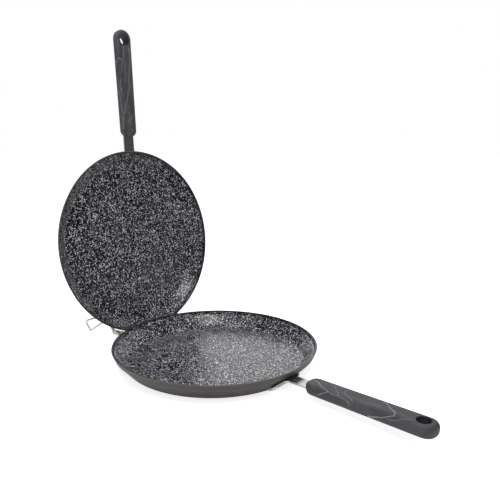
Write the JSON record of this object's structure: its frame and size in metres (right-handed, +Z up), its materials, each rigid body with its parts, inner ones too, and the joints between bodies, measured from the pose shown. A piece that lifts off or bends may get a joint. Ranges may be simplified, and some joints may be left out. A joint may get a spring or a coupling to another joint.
{
  "type": "double sided flip pan",
  "caption": "Two shallow round non-stick pans hinged rim to rim, each with a riveted handle, shown open on a wire stand.",
  "frame": {"origin": "middle of the lower pan's base, on the surface that it rests on", "axes": "+Z up, +X along the lower handle away from the hinge, +Y along the hinge side, level; the hinge axis dips 2.5 degrees towards +Y"},
  "size_m": [0.5272, 0.2659, 0.4312],
  "materials": {
    "lower_pan": "cast aluminium, sprayed dark outside, speckled non-stick inside",
    "upper_pan": "cast aluminium, sprayed dark outside, speckled non-stick inside",
    "lower_base_disc": "turned steel disc",
    "upper_base_disc": "turned steel disc",
    "lower_handle_bracket": "polished stamped steel",
    "upper_handle_bracket": "polished stamped steel",
    "lower_bracket_rivets": "satin rivets",
    "upper_bracket_rivets": "satin rivets",
    "lower_grip": "soft-touch phenolic with a marbled print",
    "upper_grip": "soft-touch phenolic with a marbled print",
    "lower_grip_screw": "zinc plated",
    "upper_grip_screw": "zinc plated",
    "lower_grip_nut": "zinc plated",
    "upper_grip_nut": "zinc plated",
    "lower_hinge_rivets": "satin rivets",
    "upper_hinge_rivets": "satin rivets",
    "lower_hinge_lug_left": "stamped steel",
    "upper_hinge_lug_left": "stamped steel",
    "lower_hinge_lug_right": "stamped steel",
    "upper_hinge_lug_right": "stamped steel",
    "wire_stand": "bright drawn steel wire",
    "hinge_washers": "thin steel",
    "pin_clips": "spring steel"
  },
  "bodies": {
    "lower_half": {"lower_pan": "lower_pan", "lower_base_disc": "lower_base_disc", "lower_handle_bracket": "lower_handle_bracket", "lower_bracket_rivets": "lower_bracket_rivets", "lower_grip": "lower_grip", "lower_grip_screw": "lower_grip_screw", "lower_grip_nut": "lower_grip_nut", "lower_hinge_rivets": "lower_hinge_rivets", "lower_hinge_lug_left": "lower_hinge_lug_left", "lower_hinge_lug_right": "lower_hinge_lug_right", "wire_stand": "wire_stand", "hinge_washers": "hinge_washers", "pin_clips": "pin_clips"},
    "upper_half": {"upper_pan": "upper_pan", "upper_base_disc": "upper_base_disc", "upper_handle_bracket": "upper_handle_bracket", "upper_bracket_rivets": "upper_bracket_rivets", "upper_grip": "upper_grip", "upper_grip_screw": "upper_grip_screw", "upper_grip_nut": "upper_grip_nut", "upper_hinge_rivets": "upper_hinge_rivets", "upper_hinge_lug_left": "upper_hinge_lug_left", "upper_hinge_lug_right": "upper_hinge_lug_right"}
  },
  "joints": [
    {"name": "pan_hinge", "type": "hinge", "parent": "lower_half", "child": "upper_half", "pos_m": [-0.1287, 0, 0.0078], "axis": [0, 0.999, -0.0436], "range_deg": [0, 98.3]}
  ]
}
